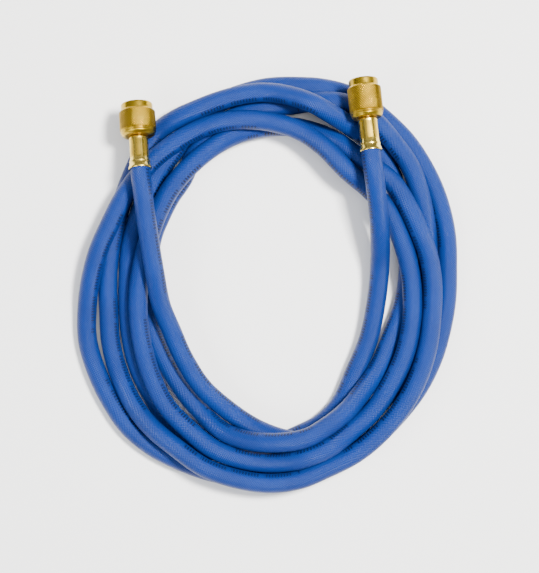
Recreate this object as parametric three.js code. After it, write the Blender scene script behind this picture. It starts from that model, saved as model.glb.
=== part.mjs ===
// A refrigerant charging hose, coiled loosely and lying flat on a floor, seen with +Y away from the
// viewer. One blue rubber hose makes nearly six turns. A brass coupling on each end rests on top of
// the coil: a crimped sleeve, the nipple that it holds, a knurled nut that swivels on the nipple, and
// the rubber seal that the nut presses against the port. Millimetres, +Z up, floor at Z = 0.

import * as THREE from 'three';

// Driving dimensions of the hose
const HOSE_DIAMETER = 11.8;
const HOSE_SIDES = 10;
const HOSE_STEP = 15;

// Driving dimensions of the coupling, measured along its axis from the mouth that takes the hose
const GAP = 0.3;
const SLEEVE_LENGTH = 20;
const SLEEVE_DIAMETER = 11.7;
const MOUTH_DIAMETER = 13.8;
const MOUTH_LIP_LENGTH = 1.6;
const MOUTH_TAPER_LENGTH = 3;
const MOUTH_DEPTH = 3;
const SLEEVE_BORE = 8.4;
const SLEEVE_EDGE = 0.5;

const NUT_NECK_DIAMETER = 14.4;
const NUT_SHOULDER_LENGTH = 2.9;
const NUT_LIP_STEP = 1.4;
const NUT_LIP_LENGTH = 4.3;
const NUT_STEP_LENGTH = 1;
const NUT_BACK_WALL = 3.2;
const NUT_BORE = 11.4;
const NUT_MOUTH_BORE = 13;
const NUT_MOUTH_BEVEL = 0.9;
const NUT_EDGE = 0.5;

const NIPPLE_NECK_DIAMETER = 8.2;
const NIPPLE_FLANGE_LENGTH = 2.4;
const NIPPLE_BORE = 3.8;
const NIPPLE_BEVEL = 0.5;
const SEAL_THICKNESS = 2;
const SEAL_HOLE = 5;
const TURNED_SEGMENTS = 28;

// How each coupling lies: where the middle of its mouth is, how far its axis swings to the left of
// +Y, and how far its open end dips below level. The right nut is slimmer and longer.
const COUPLINGS = [
  { side: 'left', mouth: [-77.3, 70.2, 32.4], swing: 4.2, dip: 14, nutLength: 20.7, nutDiameter: 22 },
  { side: 'right', mouth: [60.4, 80.4, 38.8], swing: 5.8, dip: 10, nutLength: 24, nutDiameter: 20.4 },
];

// The middle of the hose, from the left coupling to the right one
const HOSE_ROUTE = [
  // left end, down the inner left side
  [-76, 59, 33.5], [-74.5, 45.5, 32], [-72, 27.5, 31], [-69, 8.5, 28],
  [-65.5, -11.5, 20], [-59.5, -26.5, 17], [-52, -43.5, 16.5], [-40.7, -61.2, 14.5], [-25, -75.4, 11.5],
  [-11, -84.8, 12.5], [1, -90, 16.5], [11.5, -92.8, 18.8], [22, -94.3, 17.7],
  // right side, second from outside
  [33.5, -95, 14], [45, -90.8, 8], [57, -81.5, 6], [69.2, -69.3, 6], [79.8, -54.7, 6],
  [87.7, -38.8, 6], [93.5, -21, 6], [96, -2.5, 6], [97, 15.5, 6], [96.5, 29.5, 8.5], [94.5, 43, 12.5],
  [91, 57.5, 15], [85, 73.5, 16], [74.5, 88.3, 16.5], [65, 99.2, 17],
  // top, under the next turn
  [51.3, 109.3, 16.2], [38.5, 112.5, 15.3], [27, 112.3, 13], [14, 111, 9], [3, 110, 8.5],
  [-12, 107.4, 7.2], [-25, 101.5, 6], [-36, 91.5, 6],
  // left side, lowest layer
  [-46, 80, 6], [-53.3, 65.3, 6], [-60.8, 54.3, 6], [-66.5, 43, 6], [-71, 32, 6], [-73.5, 19, 6],
  [-74.5, 3.5, 6], [-73.5, -14.5, 6], [-70.5, -32, 6], [-63.5, -47, 6], [-54, -62.5, 7],
  [-43, -75.8, 7.8], [-29.5, -87.4, 14.3], [-15.5, -92.5, 21.5], [-2, -93.8, 27.5],
  // bottom, innermost of the top layer
  [12, -93, 31], [23.5, -90.3, 31], [34.3, -84.3, 28], [46.5, -75, 23], [57, -62.8, 16.6],
  [66.5, -49.5, 10.5], [74, -32, 7], [81, -13.5, 6], [84.5, 5, 6], [84.5, 23.5, 6], [82, 39, 6.5],
  [78.5, 55.5, 7], [73.5, 71, 7.5], [66.5, 82.5, 8],
  // top and left side
  [58, 91, 11.5], [47.5, 98, 19.5], [37, 104, 25.5], [26.5, 109.8, 27.5], [14.5, 114.5, 23.5],
  [0, 117.5, 18.5], [-15, 116.5, 18], [-30.5, 112.5, 18], [-43.5, 107.5, 18], [-57, 101.7, 14.5],
  [-69, 93.7, 8.5], [-77.5, 82, 6], [-84, 68.5, 6], [-90, 52.5, 6], [-94.2, 37.5, 6], [-97.5, 22, 6],
  [-99, 5, 6], [-98.5, -13.5, 6], [-97.1, -34.5, 6], [-92.1, -53, 6.8], [-84, -70, 10.8],
  [-72.3, -85, 15], [-57, -97.5, 17.5], [-39.3, -109.7, 18.3], [-19.5, -116.6, 18.3],
  // bottom and right side, outermost of the top layer
  [0, -119.3, 18.3], [18, -117, 18.3], [35, -110, 18], [52, -101.3, 18], [67.2, -88.8, 18],
  [80.8, -72.6, 18], [90.3, -54.9, 18], [96, -36.5, 17.5], [98.5, -18, 17], [99, 0, 17.5],
  [96.5, 17.5, 19], [91, 32.5, 21.4], [84, 47.5, 21.5], [75.3, 62, 20], [64, 71.7, 19.5],
  // top, lowest layer, then left side
  [51.7, 80, 18.3], [40, 88.7, 12.5], [28, 94.3, 7.5], [13.5, 97.7, 6], [-3, 97, 8.5], [-18.5, 93, 12],
  [-32, 86, 16.5], [-46, 75, 18], [-59, 60.5, 18], [-67, 46, 18], [-72.5, 31, 18], [-76.5, 16, 18],
  [-79.5, -2.5, 17], [-79, -23.5, 17], [-73.5, -49, 17], [-63.5, -71, 17.5], [-49.5, -86, 18],
  [-33.8, -98.5, 17.8], [-18, -104.3, 17.8],
  // bottom and right side, middle of the top layer
  [-3, -106.6, 18.5], [12, -105.7, 22], [24, -102.3, 26.5], [36, -97, 26], [49, -87.8, 20],
  [62.7, -75.2, 18], [73.3, -59.6, 17.6], [81.5, -42.3, 17.2], [86, -22, 17], [86.5, -3.5, 17.5],
  [84, 14.5, 18], [79, 30.5, 18], [72, 45.5, 18], [60.7, 58.5, 19], [46.3, 70.3, 23],
  // top, then outermost on the left
  [33, 84, 22.5], [19, 93.8, 20], [3.5, 99, 20], [-12, 100.7, 22], [-27, 99.7, 21.5],
  [-42.5, 95.2, 19], [-56.5, 87.5, 18.5], [-69.5, 77.5, 18.5], [-80.5, 65.5, 18.5],
  [-89.5, 52, 18.5], [-97, 37, 18.3], [-103.8, 22, 16.8], [-109, 3.5, 13], [-111.5, -14.5, 8.2],
  [-111.3, -33, 6], [-106, -51.5, 6], [-98, -68.5, 6], [-86.5, -85.5, 6], [-71.5, -98, 6],
  [-54, -107, 6],
  // bottom, lowest layer, then outermost on the right
  [-33.5, -114, 6], [-12, -117, 6], [9, -116.5, 6], [27.5, -111.5, 6], [46.3, -104, 6],
  [63.2, -93.3, 6], [77.8, -79.3, 6], [90.8, -62.5, 6], [100, -44.2, 6], [105.5, -25.5, 6],
  [108.5, -7.5, 6], [109, 11, 6], [108.5, 29.5, 6], [105.5, 45.5, 6], [100.5, 60.5, 6],
  [93.5, 74.5, 6], [84.5, 88, 6], [74, 99, 6],
  // top, outermost
  [62, 109, 6], [49, 117, 6], [33.5, 121.3, 6], [17, 122.5, 6], [0, 122, 6], [-15.5, 118.5, 6],
  [-29.5, 113, 6], [-41, 104.5, 6], [-51, 93.8, 6],
  // left side, lowest layer
  [-59, 82, 6], [-66.7, 71, 7], [-72.7, 59.3, 10], [-78, 48, 10.5], [-82, 36.5, 8.5], [-85.2, 23, 6.5],
  [-86.5, 6.5, 6], [-86.5, -11.5, 6], [-85, -30, 6], [-80.6, -48.3, 6], [-73, -65, 6],
  [-62.5, -81.5, 6], [-49, -93, 6], [-33.5, -100.5, 6], [-18.5, -103, 6],
  // bottom, then up the inside to the right end
  [-5, -100.5, 6], [8, -95, 6], [19.5, -90, 6], [31, -84, 6], [43, -72, 6.5], [52.2, -52, 7.5],
  [60.5, -31.5, 9.5], [65, -9.5, 11.5], [67, 12.5, 15.5], [66, 37, 29.5],
  [63.5, 57.5, 37.5], [61.8, 69, 40],
];

// The place of the whole coil, which centres it over the origin and stands it on the floor
const COIL_PLACE = [1.4, -1.6, 0.1];

function material(name, colour, roughness, metalness) {
  return new THREE.MeshStandardMaterial({ name, color: colour, roughness, metalness });
}

function mesh(name, geometry, look) {
  const piece = new THREE.Mesh(geometry, look);
  piece.name = name;
  return piece;
}

// A turned piece about +Z. The profile lists [radius, height] anticlockwise and closes on itself.
function turned(profile) {
  const points = [...profile, profile[0]].map(([radius, height]) => new THREE.Vector2(radius, height));
  const geometry = new THREE.LatheGeometry(points, TURNED_SEGMENTS);
  return geometry.rotateX(Math.PI / 2);
}

function couplingAxis({ swing, dip }) {
  const turn = THREE.MathUtils.degToRad(swing);
  const drop = THREE.MathUtils.degToRad(dip);
  const level = Math.cos(drop);
  return new THREE.Vector3(-Math.sin(turn) * level, Math.cos(turn) * level, -Math.sin(drop));
}

// A point on a coupling's axis, at a distance from its mouth towards its open end
function couplingPoint(coupling, distance) {
  return new THREE.Vector3(...coupling.mouth).addScaledVector(couplingAxis(coupling), distance);
}

// The hose runs straight where a coupling holds it, so its end is square in the sleeve's mouth
function hoseGeometry() {
  const inside = MOUTH_DEPTH - GAP;
  const straight = 4;
  const [left, right] = COUPLINGS;
  const route = [
    couplingPoint(left, inside),
    couplingPoint(left, -straight),
    ...HOSE_ROUTE.map((point) => new THREE.Vector3(...point)),
    couplingPoint(right, -straight),
    couplingPoint(right, inside),
  ];
  const curve = new THREE.CatmullRomCurve3(route, false, 'centripetal');
  curve.arcLengthDivisions = 4000;
  const section = new THREE.Shape();
  for (let side = 0; side < HOSE_SIDES; side += 1) {
    const angle = (2 * Math.PI * side) / HOSE_SIDES;
    const x = (HOSE_DIAMETER / 2) * Math.cos(angle);
    const y = (HOSE_DIAMETER / 2) * Math.sin(angle);
    if (side === 0) section.moveTo(x, y);
    else section.lineTo(x, y);
  }
  section.closePath();
  const steps = Math.round(curve.getLength() / HOSE_STEP);
  const sweep = { steps, extrudePath: curve, bevelEnabled: false, curveSegments: 1 };
  return new THREE.ExtrudeGeometry(section, sweep);
}

function sleeveGeometry() {
  const body = SLEEVE_DIAMETER / 2;
  const lip = MOUTH_DIAMETER / 2;
  const hose = HOSE_DIAMETER / 2 + GAP;
  const bore = SLEEVE_BORE / 2;
  return turned([
    [hose, 0],
    [lip, 0],
    [lip, MOUTH_LIP_LENGTH],
    [body, MOUTH_LIP_LENGTH + MOUTH_TAPER_LENGTH],
    [body, SLEEVE_LENGTH - SLEEVE_EDGE],
    [body - SLEEVE_EDGE, SLEEVE_LENGTH],
    [bore, SLEEVE_LENGTH],
    [bore, MOUTH_DEPTH],
    [hose, MOUTH_DEPTH],
  ]);
}

const NUT_START = SLEEVE_LENGTH + GAP;
const FLANGE_START = NUT_START + NUT_BACK_WALL + GAP;
const FLANGE_END = FLANGE_START + NIPPLE_FLANGE_LENGTH;

function nippleGeometry() {
  const bore = NIPPLE_BORE / 2;
  const tail = SLEEVE_BORE / 2 - GAP;
  const neck = NIPPLE_NECK_DIAMETER / 2;
  const flange = NUT_BORE / 2 - GAP;
  return turned([
    [bore, MOUTH_DEPTH],
    [tail, MOUTH_DEPTH],
    [tail, SLEEVE_LENGTH],
    [neck, SLEEVE_LENGTH],
    [neck, FLANGE_START],
    [flange, FLANGE_START],
    [flange, FLANGE_END - NIPPLE_BEVEL],
    [flange - NIPPLE_BEVEL, FLANGE_END],
    [bore, FLANGE_END],
  ]);
}

function sealGeometry() {
  const start = FLANGE_END + GAP;
  const hole = SEAL_HOLE / 2;
  const rim = NUT_BORE / 2 - GAP;
  return turned([
    [hole, start],
    [rim, start],
    [rim, start + SEAL_THICKNESS],
    [hole, start + SEAL_THICKNESS],
  ]);
}

function nutGeometry({ nutLength, nutDiameter }) {
  const neck = NIPPLE_NECK_DIAMETER / 2 + GAP;
  const back = NUT_NECK_DIAMETER / 2;
  const grip = nutDiameter / 2;
  const lip = grip - NUT_LIP_STEP;
  const bore = NUT_BORE / 2;
  const end = NUT_START + nutLength;
  const lipStart = end - NUT_LIP_LENGTH;
  return turned([
    [neck, NUT_START],
    [back, NUT_START],
    [(back + 2 * grip) / 3, NUT_START + NUT_SHOULDER_LENGTH / 3],
    [grip, NUT_START + NUT_SHOULDER_LENGTH],
    [grip, lipStart - NUT_STEP_LENGTH],
    [lip, lipStart],
    [lip, end - NUT_EDGE],
    [lip - NUT_EDGE, end],
    [NUT_MOUTH_BORE / 2, end],
    [bore, end - NUT_MOUTH_BEVEL],
    [bore, NUT_START + NUT_BACK_WALL],
    [neck, NUT_START + NUT_BACK_WALL],
  ]);
}

function couplingGroup(coupling, looks) {
  const group = new THREE.Group();
  group.add(mesh(`${coupling.side}_crimp_sleeve`, sleeveGeometry(), looks.sleeve));
  group.add(mesh(`${coupling.side}_nipple`, nippleGeometry(), looks.nipple));
  group.add(mesh(`${coupling.side}_seal`, sealGeometry(), looks.seal));
  group.add(mesh(`${coupling.side}_swivel_nut`, nutGeometry(coupling), looks.nut));
  group.position.set(...coupling.mouth);
  group.quaternion.setFromUnitVectors(new THREE.Vector3(0, 0, 1), couplingAxis(coupling));
  return group;
}

const looks = {
  hose: material('blue_rubber', 0x2a62c4, 0.55, 0),
  sleeve: material('bright_brass', 0xd8b84c, 0.2, 1),
  nipple: material('turned_brass', 0xc9a748, 0.3, 1),
  nut: material('knurled_brass', 0xb3934a, 0.38, 1),
  seal: material('black_rubber', 0x1a1a1c, 0.7, 0),
};

const chargingHose = new THREE.Group();
chargingHose.name = 'refrigerant_charging_hose';
chargingHose.add(mesh('hose', hoseGeometry(), looks.hose));
for (const coupling of COUPLINGS) chargingHose.add(couplingGroup(coupling, looks));
chargingHose.position.set(...COIL_PLACE);
chargingHose.updateMatrixWorld(true);

export default chargingHose;
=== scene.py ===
"""The looks of a coiled refrigerant charging hose. One blue rubber hose lies in nearly six loose turns,
with a crimped brass coupling on each end. Metres, +Z up, +Y towards the top of the picture, floor at
Z = 0."""

import math

import bpy
import numpy as np
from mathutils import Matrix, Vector


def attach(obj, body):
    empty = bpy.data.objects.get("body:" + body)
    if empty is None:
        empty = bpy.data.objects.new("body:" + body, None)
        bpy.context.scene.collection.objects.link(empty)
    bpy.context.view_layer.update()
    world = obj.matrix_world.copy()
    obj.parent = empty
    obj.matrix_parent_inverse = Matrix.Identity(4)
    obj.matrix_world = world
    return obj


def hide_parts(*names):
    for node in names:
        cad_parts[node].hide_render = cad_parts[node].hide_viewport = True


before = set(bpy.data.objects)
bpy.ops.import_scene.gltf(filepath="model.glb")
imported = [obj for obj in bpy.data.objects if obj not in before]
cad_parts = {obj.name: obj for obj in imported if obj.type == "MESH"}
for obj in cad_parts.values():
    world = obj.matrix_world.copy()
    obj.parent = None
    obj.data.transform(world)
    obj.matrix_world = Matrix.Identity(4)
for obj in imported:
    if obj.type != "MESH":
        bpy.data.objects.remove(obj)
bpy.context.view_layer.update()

MM = 0.001
FULL_TURN = 2 * math.pi

# The place of the whole coil over the origin, as in the solids
COIL_PLACE = np.array([0.0014, -0.0016, 0.0001])

# The hose. It goes in past each sleeve's mouth, and runs straight for a little way before it
HOSE_RADIUS = 5.9 * MM
HOSE_SIDES = 28
RING_STEP = 2.4 * MM
HOSE_INSIDE_MOUTH = 2.7 * MM
HOSE_STRAIGHT = 4 * MM

# How each coupling lies: the middle of its mouth, how far its axis swings to the left of +Y, and
# how far its open end dips below level, in degrees. The right nut is slimmer and longer.
COUPLINGS = [
    {
        "side": "left",
        "mouth": [-0.0773, 0.0702, 0.0324],
        "swing": 4.2,
        "dip": 14,
        "nut_length": 20.7 * MM,
        "nut_radius": 11 * MM,
        "knurl_rows": 7,
    },
    {
        "side": "right",
        "mouth": [0.0604, 0.0804, 0.0388],
        "swing": 5.8,
        "dip": 10,
        "nut_length": 24 * MM,
        "nut_radius": 10.2 * MM,
        "knurl_rows": 9,
    },
]

# The middle of the hose, from the left coupling to the right one
HOSE_ROUTE = [
    # left end, down the inner left side
    [-0.076, 0.059, 0.0335], [-0.0745, 0.0455, 0.032], [-0.072, 0.0275, 0.031],
    [-0.069, 0.0085, 0.028], [-0.0655, -0.0115, 0.02], [-0.0595, -0.0265, 0.017],
    [-0.052, -0.0435, 0.0165], [-0.0407, -0.0612, 0.0145], [-0.025, -0.0754, 0.0115],
    [-0.011, -0.0848, 0.0125], [0.001, -0.09, 0.0165], [0.0115, -0.0928, 0.0188],
    [0.022, -0.0943, 0.0177],
    # right side, second from outside
    [0.0335, -0.095, 0.014], [0.045, -0.0908, 0.008], [0.057, -0.0815, 0.006],
    [0.0692, -0.0693, 0.006], [0.0798, -0.0547, 0.006], [0.0877, -0.0388, 0.006],
    [0.0935, -0.021, 0.006], [0.096, -0.0025, 0.006], [0.097, 0.0155, 0.006], [0.0965, 0.0295, 0.0085],
    [0.0945, 0.043, 0.0125], [0.091, 0.0575, 0.015], [0.085, 0.0735, 0.016], [0.0745, 0.0883, 0.0165],
    [0.065, 0.0992, 0.017],
    # top, under the next turn
    [0.0513, 0.1093, 0.0162], [0.0385, 0.1125, 0.0153], [0.027, 0.1123, 0.013], [0.014, 0.111, 0.009],
    [0.003, 0.11, 0.0085], [-0.012, 0.1074, 0.0072], [-0.025, 0.1015, 0.006], [-0.036, 0.0915, 0.006],
    # left side, lowest layer
    [-0.046, 0.08, 0.006], [-0.0533, 0.0653, 0.006], [-0.0608, 0.0543, 0.006], [-0.0665, 0.043, 0.006],
    [-0.071, 0.032, 0.006], [-0.0735, 0.019, 0.006], [-0.0745, 0.0035, 0.006],
    [-0.0735, -0.0145, 0.006], [-0.0705, -0.032, 0.006], [-0.0635, -0.047, 0.006],
    [-0.054, -0.0625, 0.007], [-0.043, -0.0758, 0.0078], [-0.0295, -0.0874, 0.0143],
    [-0.0155, -0.0925, 0.0215], [-0.002, -0.0938, 0.0275],
    # bottom, innermost of the top layer
    [0.012, -0.093, 0.031], [0.0235, -0.0903, 0.031], [0.0343, -0.0843, 0.028],
    [0.0465, -0.075, 0.023], [0.057, -0.0628, 0.0166], [0.0665, -0.0495, 0.0105],
    [0.074, -0.032, 0.007], [0.081, -0.0135, 0.006], [0.0845, 0.005, 0.006], [0.0845, 0.0235, 0.006],
    [0.082, 0.039, 0.0065], [0.0785, 0.0555, 0.007], [0.0735, 0.071, 0.0075], [0.0665, 0.0825, 0.008],
    # top and left side
    [0.058, 0.091, 0.0115], [0.0475, 0.098, 0.0195], [0.037, 0.104, 0.0255], [0.0265, 0.1098, 0.0275],
    [0.0145, 0.1145, 0.0235], [0, 0.1175, 0.0185], [-0.015, 0.1165, 0.018], [-0.0305, 0.1125, 0.018],
    [-0.0435, 0.1075, 0.018], [-0.057, 0.1017, 0.0145], [-0.069, 0.0937, 0.0085],
    [-0.0775, 0.082, 0.006], [-0.084, 0.0685, 0.006], [-0.09, 0.0525, 0.006], [-0.0942, 0.0375, 0.006],
    [-0.0975, 0.022, 0.006], [-0.099, 0.005, 0.006], [-0.0985, -0.0135, 0.006],
    [-0.0971, -0.0345, 0.006], [-0.0921, -0.053, 0.0068], [-0.084, -0.07, 0.0108],
    [-0.0723, -0.085, 0.015], [-0.057, -0.0975, 0.0175], [-0.0393, -0.1097, 0.0183],
    [-0.0195, -0.1166, 0.0183],
    # bottom and right side, outermost of the top layer
    [0, -0.1193, 0.0183], [0.018, -0.117, 0.0183], [0.035, -0.11, 0.018], [0.052, -0.1013, 0.018],
    [0.0672, -0.0888, 0.018], [0.0808, -0.0726, 0.018], [0.0903, -0.0549, 0.018],
    [0.096, -0.0365, 0.0175], [0.0985, -0.018, 0.017], [0.099, 0, 0.0175], [0.0965, 0.0175, 0.019],
    [0.091, 0.0325, 0.0214], [0.084, 0.0475, 0.0215], [0.0753, 0.062, 0.02], [0.064, 0.0717, 0.0195],
    # top, lowest layer, then left side
    [0.0517, 0.08, 0.0183], [0.04, 0.0887, 0.0125], [0.028, 0.0943, 0.0075], [0.0135, 0.0977, 0.006],
    [-0.003, 0.097, 0.0085], [-0.0185, 0.093, 0.012], [-0.032, 0.086, 0.0165], [-0.046, 0.075, 0.018],
    [-0.059, 0.0605, 0.018], [-0.067, 0.046, 0.018], [-0.0725, 0.031, 0.018], [-0.0765, 0.016, 0.018],
    [-0.0795, -0.0025, 0.017], [-0.079, -0.0235, 0.017], [-0.0735, -0.049, 0.017],
    [-0.0635, -0.071, 0.0175], [-0.0495, -0.086, 0.018], [-0.0338, -0.0985, 0.0178],
    [-0.018, -0.1043, 0.0178],
    # bottom and right side, middle of the top layer
    [-0.003, -0.1066, 0.0185], [0.012, -0.1057, 0.022], [0.024, -0.1023, 0.0265],
    [0.036, -0.097, 0.026], [0.049, -0.0878, 0.02], [0.0627, -0.0752, 0.018],
    [0.0733, -0.0596, 0.0176], [0.0815, -0.0423, 0.0172], [0.086, -0.022, 0.017],
    [0.0865, -0.0035, 0.0175], [0.084, 0.0145, 0.018], [0.079, 0.0305, 0.018], [0.072, 0.0455, 0.018],
    [0.0607, 0.0585, 0.019], [0.0463, 0.0703, 0.023],
    # top, then outermost on the left
    [0.033, 0.084, 0.0225], [0.019, 0.0938, 0.02], [0.0035, 0.099, 0.02], [-0.012, 0.1007, 0.022],
    [-0.027, 0.0997, 0.0215], [-0.0425, 0.0952, 0.019], [-0.0565, 0.0875, 0.0185],
    [-0.0695, 0.0775, 0.0185], [-0.0805, 0.0655, 0.0185], [-0.0895, 0.052, 0.0185],
    [-0.097, 0.037, 0.0183], [-0.1038, 0.022, 0.0168], [-0.109, 0.0035, 0.013],
    [-0.1115, -0.0145, 0.0082], [-0.1113, -0.033, 0.006], [-0.106, -0.0515, 0.006],
    [-0.098, -0.0685, 0.006], [-0.0865, -0.0855, 0.006], [-0.0715, -0.098, 0.006],
    [-0.054, -0.107, 0.006],
    # bottom, lowest layer, then outermost on the right
    [-0.0335, -0.114, 0.006], [-0.012, -0.117, 0.006], [0.009, -0.1165, 0.006],
    [0.0275, -0.1115, 0.006], [0.0463, -0.104, 0.006], [0.0632, -0.0933, 0.006],
    [0.0778, -0.0793, 0.006], [0.0908, -0.0625, 0.006], [0.1, -0.0442, 0.006],
    [0.1055, -0.0255, 0.006], [0.1085, -0.0075, 0.006], [0.109, 0.011, 0.006], [0.1085, 0.0295, 0.006],
    [0.1055, 0.0455, 0.006], [0.1005, 0.0605, 0.006], [0.0935, 0.0745, 0.006], [0.0845, 0.088, 0.006],
    [0.074, 0.099, 0.006],
    # top, outermost
    [0.062, 0.109, 0.006], [0.049, 0.117, 0.006], [0.0335, 0.1213, 0.006], [0.017, 0.1225, 0.006],
    [0, 0.122, 0.006], [-0.0155, 0.1185, 0.006], [-0.0295, 0.113, 0.006], [-0.041, 0.1045, 0.006],
    [-0.051, 0.0938, 0.006],
    # left side, lowest layer
    [-0.059, 0.082, 0.006], [-0.0667, 0.071, 0.007], [-0.0727, 0.0593, 0.01], [-0.078, 0.048, 0.0105],
    [-0.082, 0.0365, 0.0085], [-0.0852, 0.023, 0.0065], [-0.0865, 0.0065, 0.006],
    [-0.0865, -0.0115, 0.006], [-0.085, -0.03, 0.006], [-0.0806, -0.0483, 0.006],
    [-0.073, -0.065, 0.006], [-0.0625, -0.0815, 0.006], [-0.049, -0.093, 0.006],
    [-0.0335, -0.1005, 0.006], [-0.0185, -0.103, 0.006],
    # bottom, then up the inside to the right end
    [-0.005, -0.1005, 0.006], [0.008, -0.095, 0.006], [0.0195, -0.09, 0.006], [0.031, -0.084, 0.006],
    [0.043, -0.072, 0.0065], [0.0522, -0.052, 0.0075], [0.0605, -0.0315, 0.0095],
    [0.065, -0.0095, 0.0115], [0.067, 0.0125, 0.0155], [0.066, 0.037, 0.0295],
    [0.0635, 0.0575, 0.0375], [0.0618, 0.069, 0.04],
]

# The crimp of a sleeve. Distances on a coupling are along its axis from the mouth that takes the hose.
# The crimp comes and goes over its run, and fades out inside the wall between the two radii.
CRIMP_FLATS = 8
CRIMP_DEPTH = 0.22 * MM
CRIMP_START = 6.2 * MM
CRIMP_END = 19.2 * MM
CRIMP_RUN = 1.2 * MM
CRIMP_INNER_RADIUS = 4.8 * MM
CRIMP_OUTER_RADIUS = 5.2 * MM
# how much of the relief a full-depth flat loses, which the brass darkens as painted shade
CRIMP_PAINTED_SHADE = 0.8

# The knurl on a nut, whose pyramids are cut flat at a share of their height
NUT_START = 20.3 * MM
KNURLS_AROUND = 44
KNURL_START = 24.5 * MM
KNURL_PITCH = 1.6 * MM
KNURL_DEPTH = 0.55 * MM
KNURL_FLAT_SHARE = 0.8
STEPS_PER_KNURL = 4

# The thread in a nut's bore, which stops short of the open end
BORE_RADIUS = 5.7 * MM
THREAD_START = 29.4 * MM
THREAD_TO_END = 1 * MM
THREAD_PITCH = 1.27 * MM
THREAD_DEPTH = 0.55 * MM
THREAD_RUN_OUT = 0.3 * MM
# how much of the relief the thread's grooves lose, which the brass darkens as painted shade
THREAD_PAINTED_SHADE = 0.5
STEPS_PER_THREAD = 6
BORE_TOLERANCE = 0.1 * MM

# How finely the turned pieces are divided, and what counts as the same place
TURNED_SIDES = 96
INNER_SIDES = 64
SHARP_ANGLE = math.radians(50)
HAIR = 1e-6


# Shapes


def lengths_along(points):
    """How far along a line of points each point is, from its first."""
    steps = np.linalg.norm(np.diff(points, axis=0), axis=1)
    return np.concatenate([[0.0], np.cumsum(steps)])


def at_lengths(points, along, wanted):
    """The places at the wanted lengths along a line, on the straight steps between its points."""
    columns = [np.interp(wanted, along, points[:, k]) for k in range(points.shape[1])]
    return np.stack(columns, axis=1)


def smooth_line(points, per_span=40):
    """A centripetal Catmull-Rom curve. Each span is a cubic whose slopes come from its neighbours,
    with steps of the square root of the distances between points."""
    first = 2 * points[0] - points[1]
    last = 2 * points[-1] - points[-2]
    held = np.vstack([first, points, last])
    before = held[:-3]
    start = held[1:-2]
    end = held[2:-1]
    after = held[3:]
    gap_a = np.sqrt(np.linalg.norm(start - before, axis=1))[:, None]
    gap_b = np.sqrt(np.linalg.norm(end - start, axis=1))[:, None]
    gap_c = np.sqrt(np.linalg.norm(after - end, axis=1))[:, None]
    slope_a = (start - before) / gap_a - (end - before) / (gap_a + gap_b) + (end - start) / gap_b
    slope_b = (end - start) / gap_b - (after - start) / (gap_b + gap_c) + (after - end) / gap_c
    slope_a = slope_a * gap_b
    slope_b = slope_b * gap_b
    square = 3 * (end - start) - 2 * slope_a - slope_b
    cube = 2 * (start - end) + slope_a + slope_b
    t = np.linspace(0, 1, per_span, endpoint=False)[None, :, None]
    spans = start[:, None] + slope_a[:, None] * t + square[:, None] * t**2 + cube[:, None] * t**3
    return np.vstack([spans.reshape(-1, 3), points[-1]])


def evenly(points, step):
    """The same line with points an equal step apart."""
    along = lengths_along(points)
    count = max(2, int(round(along[-1] / step)) + 1)
    return at_lengths(points, along, np.linspace(0, along[-1], count))


def rounded(profile, radius, steps=5):
    """A closed profile with each corner replaced by a quadratic curve, which starts and ends a radius
    from the corner, or 45% of the shorter side where that is less."""
    corner = np.array(profile, float)
    back = np.roll(corner, 1, axis=0) - corner
    ahead = np.roll(corner, -1, axis=0) - corner
    back_length = np.linalg.norm(back, axis=1)[:, None]
    ahead_length = np.linalg.norm(ahead, axis=1)[:, None]
    reach = np.minimum(radius, 0.45 * np.minimum(back_length, ahead_length))
    into = corner + back / back_length * reach
    out = corner + ahead / ahead_length * reach
    t = np.linspace(0, 1, steps)[None, :, None]
    curves = into[:, None] * (1 - t) ** 2 + corner[:, None] * 2 * t * (1 - t) + out[:, None] * t**2
    return curves.reshape(-1, 2)


def rounded_open(profile, radius):
    """An open profile with its inner corners rounded and its ends kept."""
    curves = rounded(profile, radius).reshape(len(profile), -1, 2)
    return np.vstack([profile[:1], curves[1:-1].reshape(-1, 2), profile[-1:]])


def closer_lengths(along, step, least):
    """The lengths of a line's own points with others about a step apart, in rising order. One that is
    no further than the least length past the one before it is left out."""
    extra = np.linspace(0, along[-1], max(2, int(along[-1] / step)))
    wanted = np.unique(np.round(np.concatenate([along, extra]), 7))
    keep = np.concatenate([[True], np.diff(wanted) > least])
    return wanted[keep]


def dense(profile, step):
    """A closed profile with points added, so that none is further than about a step from the next."""
    closed = np.vstack([profile, profile[:1]])
    along = lengths_along(closed)
    least = 0.2 * step
    wanted = closer_lengths(along, step, least)
    return at_lengths(closed, along, wanted[wanted < along[-1] - least])


def dense_open(profile, step):
    """An open profile with points added, so that none is further than about a step from the next."""
    along = lengths_along(profile)
    return at_lengths(profile, along, closer_lengths(along, step, 0.15 * step))


def ease(value, start, end):
    """A smooth step from 0 at start to 1 at end: three times the square less twice the cube."""
    t = np.clip((value - start) / (end - start), 0, 1)
    return t * t * (3 - 2 * t)


def zigzag(value):
    """0 at each whole number and 1 halfway between two, in straight lines."""
    return 1 - np.abs(2 * (value - np.floor(value)) - 1)


def grid_faces(rows, columns, closed):
    """The four corners of each face between neighbouring points of a grid, row by row. The columns
    join round, and so do the rows where the profile is closed."""
    down = np.arange(rows if closed else rows - 1)[:, None]
    across = np.arange(columns)[None, :]
    below = (down + 1) % rows
    right = (across + 1) % columns
    corners = [
        down * columns + across,
        down * columns + right,
        below * columns + right,
        below * columns + across,
    ]
    return np.stack(corners, axis=-1).reshape(-1, 4)


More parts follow.
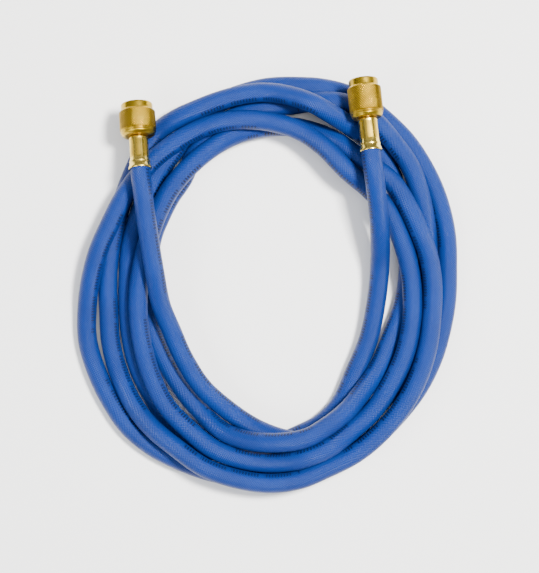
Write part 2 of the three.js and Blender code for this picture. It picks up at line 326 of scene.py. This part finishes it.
def grid_map(around, along, closed):
    """Where each corner of each face lies on the surface map: its part of a turn, and its length along
    the profile. The faces that close a round go on past the end, so the map never runs back."""
    columns = len(around)
    count = len(along) if closed else len(along) - 1
    lengths = np.append(along, 2 * along[-1] - along[-2])
    turn = np.tile(around, (count, 1))
    turn_right = turn + 1 / columns
    rise = np.tile(lengths[:count, None], (1, columns))
    rise_below = np.tile(lengths[1:count + 1, None], (1, columns))
    corners = [(turn, rise), (turn_right, rise), (turn_right, rise_below), (turn, rise_below)]
    return np.stack([np.stack(corner, axis=-1) for corner in corners], axis=2).reshape(-1, 2)


def faces_outwards(points, quads):
    """Whether faces point outwards: the volume that they enclose, summed over their two triangles as
    each one's cross product with its place from the middle, is then above zero."""
    a, b, c, d = (points[quads[:, corner]] for corner in range(4))
    place = a - points.mean(axis=0)
    volume = np.sum(np.cross(b - a, c - a) * place) + np.sum(np.cross(c - a, d - a) * place)
    return volume >= 0


def put_mesh(name, grid, around, along, closed, look, relief=None):
    """A mesh from a grid of points, with its surface map. Where the profile is open, each end row is
    closed by one flat face. Relief is a value from 0 in a groove to 1 on a crest."""
    rows, columns = grid.shape[:2]
    points = grid.reshape(-1, 3)
    quads = grid_faces(rows, columns, closed)
    corner_map = grid_map(around, along, closed).reshape(-1, 4, 2)
    outwards = faces_outwards(points, quads)
    if not outwards:
        quads = quads[:, ::-1]
        corner_map = corner_map[:, ::-1]
    corners = quads.reshape(-1)
    corner_map = corner_map.reshape(-1, 2)
    starts = np.arange(len(quads)) * 4
    sizes = np.full(len(quads), 4)
    if not closed:
        first = np.arange(columns)
        final = first + (rows - 1) * columns
        ends = [first[::-1], final] if outwards else [first, final[::-1]]
        starts = np.concatenate([starts, [len(corners), len(corners) + columns]])
        sizes = np.concatenate([sizes, [columns, columns]])
        corners = np.concatenate([corners, *ends])
        end_maps = [np.tile([0.0, length], (columns, 1)) for length in (along[0], along[-1])]
        corner_map = np.vstack([corner_map, *end_maps])
    mesh = bpy.data.meshes.new(name)
    mesh.vertices.add(len(points))
    mesh.vertices.foreach_set("co", points.astype(np.float32).reshape(-1))
    mesh.loops.add(len(corners))
    mesh.loops.foreach_set("vertex_index", corners.astype(np.int32))
    mesh.polygons.add(len(starts))
    mesh.polygons.foreach_set("loop_start", starts.astype(np.int32))
    mesh.polygons.foreach_set("loop_total", sizes.astype(np.int32))
    layer = mesh.uv_layers.new(name="surface_map")
    layer.data.foreach_set("uv", corner_map.astype(np.float32).reshape(-1))
    if relief is not None:
        held = mesh.attributes.new("relief", "FLOAT", "POINT")
        held.data.foreach_set("value", relief.astype(np.float32).reshape(-1))
    mesh.update(calc_edges=True)
    mesh.validate()
    mesh.polygons.foreach_set("use_smooth", np.ones(len(starts), bool))
    mesh.set_sharp_from_angle(angle=SHARP_ANGLE)
    mesh.materials.append(look)
    piece = bpy.data.objects.new(name, mesh)
    bpy.context.scene.collection.objects.link(piece)
    return piece


def coupling_axes(coupling):
    """The mouth's middle, the axis, and the two directions square to it, the second of which is the
    one that points most upwards."""
    swing = math.radians(coupling["swing"])
    dip = math.radians(coupling["dip"])
    axis = np.array(
        [-math.sin(swing) * math.cos(dip), math.cos(swing) * math.cos(dip), -math.sin(dip)]
    )
    side = np.cross(axis, [0, 0, 1.0])
    side /= np.linalg.norm(side)
    return np.array(coupling["mouth"]) + COIL_PLACE, axis, side, np.cross(side, axis)


def on_coupling(coupling, distance):
    """A point on a coupling's axis, at a distance from its mouth towards its open end."""
    mouth, axis, _, _ = coupling_axes(coupling)
    return mouth + axis * distance


def turned(name, coupling, profile, look, sides=TURNED_SIDES, shape=None):
    """A turned piece: a closed profile of radius and distance along the axis, carried once round a
    coupling's axis. A shape function may change the radius, and gives the relief."""
    mouth, axis, side, up = coupling_axes(coupling)
    part = np.arange(sides) / sides
    radius = np.repeat(profile[:, :1], sides, axis=1)
    distance = np.repeat(profile[:, 1:], sides, axis=1)
    relief = np.ones_like(radius)
    if shape is not None:
        radius, relief = shape(radius, distance, np.broadcast_to(part, radius.shape))
    angle = part * FULL_TURN
    ring = np.cos(angle)[:, None] * side + np.sin(angle)[:, None] * up
    grid = mouth + axis * distance[..., None] + radius[..., None] * ring[None]
    return put_mesh(name, grid, part, lengths_along(profile), True, look, relief)


# Pieces. Each profile is a list of a radius and a distance from the mouth, in millimetres


def hose_line():
    """The middle of the hose. It runs straight for a few millimetres where a coupling holds it."""
    left, right = COUPLINGS
    start = [on_coupling(left, HOSE_INSIDE_MOUTH), on_coupling(left, -HOSE_STRAIGHT)]
    finish = [on_coupling(right, -HOSE_STRAIGHT), on_coupling(right, HOSE_INSIDE_MOUTH)]
    route = np.array(HOSE_ROUTE) + COIL_PLACE
    return evenly(smooth_line(np.vstack([start, route, finish])), RING_STEP)


def make_hose(look):
    """A round tube: rings square to the middle line, whose first direction is the one that points
    most upwards and whose second points to the inside of the coil. Also gives its middle line."""
    line = hose_line()
    ahead = np.gradient(line, axis=0)
    ahead /= np.linalg.norm(ahead, axis=1)[:, None]
    inward = np.cross([0, 0, 1.0], ahead)
    inward /= np.linalg.norm(inward, axis=1)[:, None]
    up = np.cross(ahead, inward)
    part = np.arange(HOSE_SIDES) / HOSE_SIDES
    angle = part[None, :, None] * FULL_TURN
    grid = line[:, None] + HOSE_RADIUS * (
        np.cos(angle) * up[:, None] + np.sin(angle) * inward[:, None]
    )
    piece = put_mesh("hose_cover", grid, part, lengths_along(line), False, look)
    return piece, line


def crimped(radius, distance, part):
    """The sleeve is squeezed into flats: where it is crimped, the radius goes from the round one
    towards that of a polygon with as many sides. Its inner wall stays round."""
    turn = part * CRIMP_FLATS + 0.5
    within = turn - np.floor(turn)
    half = math.pi / CRIMP_FLATS
    flat = (1 - math.cos(half) / np.cos((within - 0.5) * 2 * half)) / (1 - math.cos(half))
    length = ease(distance, CRIMP_START, CRIMP_START + CRIMP_RUN)
    length = length * (1 - ease(distance, CRIMP_END - CRIMP_RUN, CRIMP_END))
    outside = ease(radius, CRIMP_INNER_RADIUS, CRIMP_OUTER_RADIUS)
    depth = flat * length * outside
    # the flats get a lower relief, which the brass darkens as painted shade
    return radius - CRIMP_DEPTH * depth, 1 - CRIMP_PAINTED_SHADE * depth


def make_sleeve(coupling, look):
    """A turned shell with a flared mouth and one raised ring behind it, squeezed into flats."""
    profile = np.array([
        [6.05, 0.1], [6.35, -0.05], [6.9, 0.1], [6.92, 0.9], [6.5, 2.1], [6.2, 3.2], [6.1, 3.9],
        [6.12, 4.15], [6.46, 4.5], [6.12, 4.9], [5.8, 5.15], [5.86, 5.5],
        [5.86, 19.3], [5.5, 20], [4.2, 20], [4.2, 3], [6.05, 3],
    ]) * MM
    outline = dense(rounded(profile, 0.35 * MM), 0.5 * MM)
    return turned(f"{coupling['side']}_sleeve_shell", coupling, outline, look, shape=crimped)


def make_nipple(coupling, look):
    """A turned tube that runs from inside the sleeve into the nut, where its collar holds the nut."""
    profile = np.array([
        [1.9, 3], [3.9, 3], [3.9, 20], [4.1, 20.1], [4.1, 23.8], [5.4, 23.8],
        [5.4, 25.4], [4.5, 26.2], [1.9, 26.2],
    ]) * MM
    outline = dense(rounded(profile, 0.3 * MM), 1 * MM)
    name = f"{coupling['side']}_nipple_turned"
    return turned(name, coupling, outline, look, sides=INNER_SIDES)


def make_seal(coupling, look):
    """A moulded ring in the nut, with a shallow groove in the face that meets the port."""
    profile = np.array([
        [2.5, 26.5], [5.4, 26.5], [5.4, 28.5], [4.7, 28.5], [4.3, 28.1], [3.4, 28.1],
        [3.0, 28.5], [2.5, 28.5],
    ]) * MM
    outline = dense(rounded(profile, 0.45 * MM), 0.5 * MM)
    return turned(f"{coupling['side']}_seal_ring", coupling, outline, look, sides=INNER_SIDES)


def knurled_and_threaded(radius, distance, part, grip_radius, knurl_end, thread_end):
    """Two sets of slanting grooves cross on the grip and leave pyramids, each as high as the lower of
    the two zigzags. In the bore one helical groove goes round once for each pitch."""
    along = (distance - KNURL_START) / KNURL_PITCH
    around = part * KNURLS_AROUND
    pyramid = np.minimum(zigzag(around + along), zigzag(around - along))
    pyramid = np.minimum(pyramid / KNURL_FLAT_SHARE, 1)
    grip = (distance > KNURL_START - HAIR) & (distance < knurl_end + HAIR)
    grip = grip & (radius > grip_radius - HAIR)
    sunk = np.where(grip, 1 - pyramid, 0)
    wall = ease(distance, THREAD_START, THREAD_START + THREAD_PITCH)
    wall = wall * (1 - ease(distance, thread_end - THREAD_RUN_OUT, thread_end))
    wall = wall * (np.abs(radius - BORE_RADIUS) < BORE_TOLERANCE)
    crest = zigzag(distance / THREAD_PITCH - part) * wall
    # on the grip the relief is the pyramid's height and in the bore the thread's grooves lower it; the
    # brass darkens low relief as painted shade
    relief = np.where(grip, pyramid, 1 - THREAD_PAINTED_SHADE * wall * (1 - crest))
    return radius - KNURL_DEPTH * sunk - THREAD_DEPTH * crest, relief


def make_nut(coupling, look):
    """A turned nut: a rounded shoulder with a bead, the knurled grip, a plain lip, and a bore with a
    thread that ends at the seat of the nipple's collar."""
    grip = coupling["nut_radius"] / MM
    end = (NUT_START + coupling["nut_length"]) / MM
    knurl_end = KNURL_START + coupling["knurl_rows"] * KNURL_PITCH
    edge = knurl_end / MM
    back = np.array([
        [4.4, 20.3], [7.2, 20.3], [8.5, 20.6], [grip - 1.25, 21.4], [grip - 0.75, 22.1],
        [grip - 0.7, 22.5], [grip - 1.0, 22.75], [grip - 1.0, 22.95], [grip - 0.5, 23.15],
        [grip - 0.3, 23.5], [grip - 0.5, 23.85], [grip - 0.95, 24.05], [grip - 0.9, 24.25],
        [grip - 0.45, 24.4],
    ]) * MM
    face_steps = np.arange(coupling["knurl_rows"] * STEPS_PER_KNURL + 1)
    heights = KNURL_START + face_steps * KNURL_PITCH / STEPS_PER_KNURL
    face = np.stack([np.full_like(heights, coupling["nut_radius"]), heights], axis=1)
    front = np.array([
        [grip - 0.4, edge + 0.12], [grip - 0.7, edge + 0.45], [grip - 1.15, edge + 0.75],
        [grip - 1.4, edge + 1.1], [grip - 1.4, end - 0.7], [grip - 1.6, end - 0.2],
        [grip - 2.1, end], [6.9, end], [6.4, end - 0.25], [5.7, end - 0.95],
    ]) * MM
    thread_end = end * MM - THREAD_TO_END
    bore_step = THREAD_PITCH / STEPS_PER_THREAD
    bore_heights = np.arange(thread_end, THREAD_START - 2 * bore_step, -bore_step)
    bore = np.stack([np.full_like(bore_heights, BORE_RADIUS), bore_heights], axis=1)
    seat = np.array([[5.7, 28.6], [5.7, 23.5], [4.4, 23.5]]) * MM
    outline = np.vstack([
        dense_open(rounded_open(back, 0.3 * MM), 0.4 * MM),
        face,
        dense_open(rounded_open(front, 0.3 * MM), 0.5 * MM),
        bore,
        seat,
    ])

    def shape(radius, distance, part):
        ends = (coupling["nut_radius"], knurl_end, thread_end)
        return knurled_and_threaded(radius, distance, part, *ends)

    name = f"{coupling['side']}_nut_shell"
    sides = KNURLS_AROUND * STEPS_PER_KNURL
    return turned(name, coupling, outline, look, sides=sides, shape=shape)


# Materials

# Uneven tone: how far each noise is stretched, and the share that the specks have in it
PATCH_SPREAD = (0.35, 0.65)
SPECK_SPREAD = (0.3, 0.7)
SPECK_SHARE = 0.35

# The braid that shows through the hose's cover
STRANDS_AROUND = 26.0
STRANDS_PER_METRE = 690.0
STRAND_SHARPNESS = 1.4
SECOND_STRAND_HEIGHT = 0.45
WEAVE_DEPTH = 0.22 * MM
WEAVE_STRENGTH = 0.8
# the share of painted sheen that lightens the ridges of the braid
WEAVE_SHEEN_SHARE = 0.42
HOSE_SPECK_HEIGHT = 0.15

# The ink on the hose: where its band lies in parts of a turn, how it wanders, and for the ticks,
# their groups and their rows, how many go to a metre and the inked share of each
INK_MIDDLE = 0.145
INK_HALF_WIDTH = 0.038
INK_WANDER = 0.015
INK_WANDER_RATE = 9.0
INK_REPEATS = [(520.0, 0.5), (47.0, 0.86), (9.2, 0.72)]
INK_SHARE = 0.95

# How the brass is toned by its relief: the relief over which grooves darken as painted shade and
# crests brighten as wear, and how much of the tone under it each layer covers
GROOVE_SHADE_RELIEF = (0.05, 0.55)
CREST_RELIEF = (0.55, 0.98)
STREAK_SHARE = 0.35
CREST_SHARE = 0.5
GROOVE_SHADE_SHARE = 0.9
GROOVE_ROUGHER = 0.2
RINGS_PER_METRE = 9000.0
RING_STRENGTH = 0.5
STREAK_CHANGE = 12.0


def give(tree, socket, value):
    """Sets a socket to a number or a colour, or links it to another node's socket."""
    if isinstance(value, (int, float, tuple)):
        socket.default_value = value
    else:
        tree.links.new(value, socket)


def new_group(name, inputs, outputs):
    """A shader node group with named sockets. Each is given as its name, kind and value."""
    group = bpy.data.node_groups.new(name, "ShaderNodeTree")
    for label, kind, value in inputs:
        socket = group.interface.new_socket(name=label, in_out="INPUT", socket_type=kind)
        if value is not None:
            socket.default_value = value
    for label, kind in outputs:
        group.interface.new_socket(name=label, in_out="OUTPUT", socket_type=kind)
    start = group.nodes.new("NodeGroupInput")
    end = group.nodes.new("NodeGroupOutput")
    return group, start, end


def math_node(tree, operation, *values):
    """A Math node whose inputs are numbers or other nodes' sockets."""
    node = tree.nodes.new("ShaderNodeMath")
    node.operation = operation
    for socket, value in zip(node.inputs, values):
        give(tree, socket, value)
    return node.outputs[0]


def mix_colour(tree, share, first, second):
    """Mixes two colours, each a tuple or a socket. A Mix node keeps its colour sockets after those for
    numbers and vectors."""
    node = tree.nodes.new("ShaderNodeMix")
    node.data_type = "RGBA"
    give(tree, node.inputs[0], share)
    give(tree, node.inputs[6], first)
    give(tree, node.inputs[7], second)
    return node.outputs[2]


def noise(tree, vector, scale, detail=3.0, roughness=0.5):
    """Soft noise at a place. Its scale is a number or a socket."""
    node = tree.nodes.new("ShaderNodeTexNoise")
    node.inputs["Detail"].default_value = detail
    node.inputs["Roughness"].default_value = roughness
    give(tree, node.inputs["Scale"], scale)
    tree.links.new(vector, node.inputs["Vector"])
    return node.outputs["Fac"]


def ramp(tree, value, low, high):
    """A value stretched so that low becomes 0 and high becomes 1, and held between them."""
    node = tree.nodes.new("ShaderNodeMapRange")
    node.inputs["From Min"].default_value = low
    node.inputs["From Max"].default_value = high
    tree.links.new(value, node.inputs["Value"])
    return node.outputs["Result"]


def parts_of(tree, vector):
    """The X and Y of a vector."""
    split = tree.nodes.new("ShaderNodeSeparateXYZ")
    tree.links.new(vector, split.inputs[0])
    return split.outputs["X"], split.outputs["Y"]


def mottle_group():
    """Uneven tone and gloss, from two sizes of noise on the object's own coordinates: the share of
    dark is a weighted sum of the two, and the roughness follows it from one gloss to the other."""
    group, start, end = new_group(
        "mottle",
        [
            ("Place", "NodeSocketVector", None),
            ("Patch Scale", "NodeSocketFloat", 60.0),
            ("Speck Scale", "NodeSocketFloat", 900.0),
            ("Light", "NodeSocketColor", (1, 1, 1, 1)),
            ("Dark", "NodeSocketColor", (0.5, 0.5, 0.5, 1)),
            ("Gloss From", "NodeSocketFloat", 0.3),
            ("Gloss To", "NodeSocketFloat", 0.5),
        ],
        [("Colour", "NodeSocketColor"), ("Roughness", "NodeSocketFloat"), ("Speck", "NodeSocketFloat")],
    )
    place = start.outputs["Place"]
    patches = ramp(group, noise(group, place, start.outputs["Patch Scale"]), *PATCH_SPREAD)
    specks = ramp(group, noise(group, place, start.outputs["Speck Scale"]), *SPECK_SPREAD)
    patch_part = math_node(group, "MULTIPLY", patches, 1 - SPECK_SHARE)
    share = math_node(group, "MULTIPLY_ADD", specks, SPECK_SHARE, patch_part)
    colour = mix_colour(group, share, start.outputs["Light"], start.outputs["Dark"])
    span = math_node(group, "SUBTRACT", start.outputs["Gloss To"], start.outputs["Gloss From"])
    gloss = math_node(group, "MULTIPLY_ADD", share, span, start.outputs["Gloss From"])
    group.links.new(colour, end.inputs["Colour"])
    group.links.new(gloss, end.inputs["Roughness"])
    group.links.new(specks, end.inputs["Speck"])
    return group


def weave_group():
    """Fine strands that wind round the hose both ways and cross. Each set is half of one plus the sine
    of the turn times the strands around, plus or less the length times the strands along, raised to
    a power. The ridge is the higher set, and the height is the first plus a share of the second."""
    group, start, end = new_group(
        "crossing_strands",
        [
            ("Map", "NodeSocketVector", None),
            ("Strands Around", "NodeSocketFloat", STRANDS_AROUND),
            ("Strands Along", "NodeSocketFloat", STRANDS_PER_METRE),
        ],
        [("Height", "NodeSocketFloat"), ("Ridge", "NodeSocketFloat")],
    )
    turn, length = parts_of(group, start.outputs["Map"])
    around = math_node(group, "MULTIPLY", turn, start.outputs["Strands Around"])
    along = math_node(group, "MULTIPLY", length, start.outputs["Strands Along"])
    waves = []
    for combine in ("ADD", "SUBTRACT"):
        phase = math_node(group, "MULTIPLY", math_node(group, combine, around, along), FULL_TURN)
        wave = math_node(group, "MULTIPLY_ADD", math_node(group, "SINE", phase), 0.5, 0.5)
        waves.append(math_node(group, "POWER", wave, STRAND_SHARPNESS))
    height = math_node(group, "MULTIPLY_ADD", waves[1], SECOND_STRAND_HEIGHT, waves[0])
    group.links.new(math_node(group, "MAXIMUM", *waves), end.inputs["Ridge"])
    group.links.new(height, end.inputs["Height"])
    return group


def turning_group():
    """Fine rings left by turning, which are noise on the length alone, and long streaks, which are
    noise on the cosine and sine of the turn and on the length."""
    group, start, end = new_group(
        "turned_marks",
        [
            ("Map", "NodeSocketVector", None),
            ("Rings", "NodeSocketFloat", RINGS_PER_METRE),
            ("Streaks", "NodeSocketFloat", 4.0),
        ],
        [("Ring", "NodeSocketFloat"), ("Streak", "NodeSocketFloat")],
    )
    turn, length = parts_of(group, start.outputs["Map"])
    ring_place = group.nodes.new("ShaderNodeCombineXYZ")
    group.links.new(math_node(group, "MULTIPLY", length, start.outputs["Rings"]), ring_place.inputs["Y"])
    rings = noise(group, ring_place.outputs[0], 1.0, detail=2.0, roughness=0.55)
    angle = math_node(group, "MULTIPLY", turn, FULL_TURN)
    streak_place = group.nodes.new("ShaderNodeCombineXYZ")
    group.links.new(math_node(group, "COSINE", angle), streak_place.inputs["X"])
    group.links.new(math_node(group, "SINE", angle), streak_place.inputs["Y"])
    group.links.new(math_node(group, "MULTIPLY", length, STREAK_CHANGE), streak_place.inputs["Z"])
    streaks = noise(group, streak_place.outputs[0], start.outputs["Streaks"])
    group.links.new(rings, end.inputs["Ring"])
    group.links.new(ramp(group, streaks, *PATCH_SPREAD), end.inputs["Streak"])
    return group


MOTTLE = mottle_group()
WEAVE = weave_group()
TURNING = turning_group()


def new_material(name):
    """A material with its node tree and its shader."""
    look = bpy.data.materials.new(name)
    look.use_nodes = True
    tree = look.node_tree
    return look, tree, tree.nodes["Principled BSDF"]


def place_group(tree, group, **values):
    """Puts a node group in a material, with its inputs set to numbers, colours or sockets."""
    node = tree.nodes.new("ShaderNodeGroup")
    node.node_tree = group
    for label, value in values.items():
        give(tree, node.inputs[label.replace("_", " ")], value)
    return node


def surface_map(tree):
    """A piece's own map: the part of a turn, and the length along."""
    node = tree.nodes.new("ShaderNodeUVMap")
    node.uv_map = "surface_map"
    return node.outputs["UV"]


def object_place(tree):
    """The place on a piece, in its own coordinates."""
    return tree.nodes.new("ShaderNodeTexCoord").outputs["Object"]


def bump(tree, height, distance, strength):
    """A normal that is tilted as if the surface rose by the distance where the height is 1."""
    node = tree.nodes.new("ShaderNodeBump")
    node.inputs["Strength"].default_value = strength
    node.inputs["Distance"].default_value = distance
    tree.links.new(height, node.inputs["Height"])
    return node.outputs["Normal"]


def ink_mask(tree):
    """Plain ink ticks along the inner side of the hose. The band is where the turn is within half a
    width of its middle, which wanders with the sine of the length. Each repeat cuts it where the
    fraction of the length times its number to a metre is past its inked share."""
    turn, length = parts_of(tree, surface_map(tree))
    wander = math_node(tree, "SINE", math_node(tree, "MULTIPLY", length, INK_WANDER_RATE))
    middle = math_node(tree, "MULTIPLY_ADD", wander, INK_WANDER, INK_MIDDLE)
    off = math_node(tree, "ABSOLUTE", math_node(tree, "SUBTRACT", turn, middle))
    inked = math_node(tree, "LESS_THAN", off, INK_HALF_WIDTH)
    for per_metre, share in INK_REPEATS:
        part = math_node(tree, "FRACT", math_node(tree, "MULTIPLY", length, per_metre))
        inked = math_node(tree, "MULTIPLY", inked, math_node(tree, "LESS_THAN", part, share))
    return inked


def hose_material():
    """Deep blue rubber, lightened on the ridges of the braid under it with a painted sheen, and with ink
    over both.
    """
    look, tree, shader = new_material("blue_woven_rubber")
    weave = place_group(
        tree,
        WEAVE,
        Map=surface_map(tree),
        Strands_Around=STRANDS_AROUND,
        Strands_Along=STRANDS_PER_METRE,
    )
    tone = place_group(
        tree,
        MOTTLE,
        Place=object_place(tree),
        Patch_Scale=45.0,
        Speck_Scale=1400.0,
        Light=(0.0008, 0.0140, 0.120, 1),
        Dark=(0.0004, 0.0070, 0.074, 1),
        Gloss_From=0.30,
        Gloss_To=0.40,
    )
    # painted sheen: the braid's ridges are lightened towards a paler blue
    sheen_share = math_node(tree, "MULTIPLY", weave.outputs["Ridge"], WEAVE_SHEEN_SHARE)
    raised = mix_colour(tree, sheen_share, tone.outputs["Colour"], (0.009, 0.052, 0.27, 1))
    ink_share = math_node(tree, "MULTIPLY", ink_mask(tree), INK_SHARE)
    inked = mix_colour(tree, ink_share, raised, (0.002, 0.004, 0.02, 1))
    specks = tone.outputs["Speck"]
    height = math_node(tree, "MULTIPLY_ADD", specks, HOSE_SPECK_HEIGHT, weave.outputs["Height"])
    normal = bump(tree, height, WEAVE_DEPTH, WEAVE_STRENGTH)
    tree.links.new(inked, shader.inputs["Base Color"])
    tree.links.new(tone.outputs["Roughness"], shader.inputs["Roughness"])
    tree.links.new(normal, shader.inputs["Normal"])
    shader.inputs["Specular IOR Level"].default_value = 0.15
    return look


def brass_material(name, light, dark, gloss_from, gloss_to, groove, crest, ring_depth, streaks):
    """Brass with turning marks, streaks and tarnish. Grooves are darkened with painted shade and crests
    are worn bright, by the relief that the mesh carries."""
    look, tree, shader = new_material(name)
    marks = place_group(
        tree, TURNING, Map=surface_map(tree), Rings=RINGS_PER_METRE, Streaks=streaks
    )
    tone = place_group(
        tree,
        MOTTLE,
        Place=object_place(tree),
        Patch_Scale=160.0,
        Speck_Scale=1800.0,
        Light=light,
        Dark=dark,
        Gloss_From=gloss_from,
        Gloss_To=gloss_to,
    )
    relief = tree.nodes.new("ShaderNodeAttribute")
    relief.attribute_name = "relief"
    height = relief.outputs["Fac"]
    sunk = math_node(tree, "SUBTRACT", 1.0, ramp(tree, height, *GROOVE_SHADE_RELIEF))
    worn = ramp(tree, height, *CREST_RELIEF)
    streak_share = math_node(tree, "MULTIPLY", marks.outputs["Streak"], STREAK_SHARE)
    streaked = mix_colour(tree, streak_share, tone.outputs["Colour"], dark)
    edged = mix_colour(tree, math_node(tree, "MULTIPLY", worn, CREST_SHARE), streaked, crest)
    # painted shade: grooves are darkened towards the groove colour
    groove_shaded = mix_colour(tree, math_node(tree, "MULTIPLY", sunk, GROOVE_SHADE_SHARE), edged, groove)
    rough = math_node(tree, "MULTIPLY_ADD", sunk, GROOVE_ROUGHER, tone.outputs["Roughness"])
    tree.links.new(groove_shaded, shader.inputs["Base Color"])
    tree.links.new(rough, shader.inputs["Roughness"])
    normal = bump(tree, marks.outputs["Ring"], ring_depth, RING_STRENGTH)
    tree.links.new(normal, shader.inputs["Normal"])
    shader.inputs["Metallic"].default_value = 1.0
    return look


def seal_material():
    """Dull black rubber with a fine grain."""
    look, tree, shader = new_material("black_moulded_rubber")
    tone = place_group(
        tree,
        MOTTLE,
        Place=object_place(tree),
        Patch_Scale=300.0,
        Speck_Scale=2500.0,
        Light=(0.022, 0.022, 0.024, 1),
        Dark=(0.010, 0.010, 0.011, 1),
        Gloss_From=0.5,
        Gloss_To=0.75,
    )
    normal = bump(tree, tone.outputs["Speck"], 0.05 * MM, 0.5)
    tree.links.new(tone.outputs["Colour"], shader.inputs["Base Color"])
    tree.links.new(tone.outputs["Roughness"], shader.inputs["Roughness"])
    tree.links.new(normal, shader.inputs["Normal"])
    return look


hose_look = hose_material()
sleeve_look = brass_material(
    "bright_crimped_brass",
    light=(0.86, 0.62, 0.08, 1),
    dark=(0.55, 0.36, 0.035, 1),
    gloss_from=0.16,
    gloss_to=0.30,
    groove=(0.35, 0.22, 0.03, 1),
    crest=(0.95, 0.74, 0.20, 1),
    ring_depth=0.01 * MM,
    streaks=5.0,
)
nut_look = brass_material(
    "knurled_aged_brass",
    light=(0.42, 0.26, 0.014, 1),
    dark=(0.22, 0.125, 0.005, 1),
    gloss_from=0.22,
    gloss_to=0.36,
    groove=(0.02, 0.009, 0.001, 1),
    crest=(0.62, 0.42, 0.035, 1),
    ring_depth=0.012 * MM,
    streaks=3.0,
)
nipple_look = brass_material(
    "turned_brass",
    light=(0.78, 0.58, 0.20, 1),
    dark=(0.58, 0.40, 0.10, 1),
    gloss_from=0.22,
    gloss_to=0.34,
    groove=(0.3, 0.2, 0.05, 1),
    crest=(0.85, 0.66, 0.28, 1),
    ring_depth=0.02 * MM,
    streaks=4.0,
)
seal_look = seal_material()


# The camera looks straight down at the middle of the coil

CAMERA_HEIGHT = 1.2
PICTURE_HEIGHT = 0.3524
SENSOR = 36.0
camera_data = bpy.data.cameras.new("camera")
camera_data.sensor_fit = "AUTO"
camera_data.sensor_width = SENSOR
camera_data.lens = SENSOR * CAMERA_HEIGHT / PICTURE_HEIGHT
camera = bpy.data.objects.new("camera", camera_data)
camera.location = (COIL_PLACE[0], COIL_PLACE[1], CAMERA_HEIGHT)
bpy.context.scene.collection.objects.link(camera)
bpy.context.scene.camera = camera


# The hose and what is on it

hose, middle_line = make_hose(hose_look)
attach(hose, "hose_body")
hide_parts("hose")

for coupling in COUPLINGS:
    side = coupling["side"]
    for part, piece, node, slot, body in (
        ("sleeve", make_sleeve(coupling, sleeve_look), "crimp_sleeve", "sleeve_brass", "hose_body"),
        ("nipple", make_nipple(coupling, nipple_look), "nipple", "nipple_brass", "hose_body"),
        ("seal", make_seal(coupling, seal_look), "seal", "seal_rubber", "hose_body"),
        ("nut", make_nut(coupling, nut_look), "swivel_nut", "nut_brass", f"{side}_nut"),
    ):
        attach(piece, body)
        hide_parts(f"{side}_{node}")


# Floor and light

FLOOR_HALF = 12.0
FLOOR_COLOUR = (0.9, 0.9, 0.9, 1)
SKY_AT_HORIZON = (0.16, 0.17, 0.18, 1)
SKY_OVERHEAD = (1.0, 1.0, 1.0, 1)
SKY_OVERHEAD_FROM = 0.85
SKY_STRENGTH = 0.5

# Each light's place, the side of its square, its power and its colour
LIGHTS = {
    "key": ((0.6, 0.3, 1.6), 0.3, 108.0, (1.0, 0.985, 0.95)),
    "overhead": ((0.1, 0.1, 2.2), 0.8, 15.0, (1.0, 1.0, 1.0)),
    "fill": ((-1.0, -0.6, 1.2), 0.9, 20.0, (0.93, 0.96, 1.0)),
}


def area_light(name, place, size, power, colour):
    """A square soft light at a place, turned towards the middle of the floor."""
    data = bpy.data.lights.new(name, "AREA")
    data.size = size
    data.energy = power
    data.color = colour
    lamp = bpy.data.objects.new(name, data)
    lamp.location = place
    lamp.rotation_mode = "QUATERNION"
    lamp.rotation_quaternion = (-Vector(place)).to_track_quat("-Z", "Y")
    bpy.context.scene.collection.objects.link(lamp)


def floor_material():
    """A matt pale grey."""
    look, tree, shader = new_material("pale_floor")
    shader.inputs["Base Color"].default_value = FLOOR_COLOUR
    shader.inputs["Roughness"].default_value = 0.9
    shader.inputs["Specular IOR Level"].default_value = 0.1
    return look


def set_world():
    """A dim sky that is brighter overhead than at the horizon, for the brass to mirror."""
    world = bpy.data.worlds.new("studio")
    bpy.context.scene.world = world
    world.use_nodes = True
    tree = world.node_tree
    background = tree.nodes["Background"]
    split = tree.nodes.new("ShaderNodeSeparateXYZ")
    coordinates = tree.nodes.new("ShaderNodeTexCoord")
    tree.links.new(coordinates.outputs["Generated"], split.inputs[0])
    rise = ramp(tree, split.outputs["Z"], 0.0, SKY_OVERHEAD_FROM)
    sky = mix_colour(tree, rise, SKY_AT_HORIZON, SKY_OVERHEAD)
    tree.links.new(sky, background.inputs["Color"])
    background.inputs["Strength"].default_value = SKY_STRENGTH


floor_corners = [
    (-FLOOR_HALF, -FLOOR_HALF, 0),
    (FLOOR_HALF, -FLOOR_HALF, 0),
    (FLOOR_HALF, FLOOR_HALF, 0),
    (-FLOOR_HALF, FLOOR_HALF, 0),
]
floor_mesh = bpy.data.meshes.new("floor")
floor_mesh.from_pydata(floor_corners, [], [(0, 1, 2, 3)])
floor_mesh.materials.append(floor_material())
floor = bpy.data.objects.new("floor", floor_mesh)
bpy.context.scene.collection.objects.link(floor)

for light_name, settings in LIGHTS.items():
    area_light(light_name, *settings)
set_world()
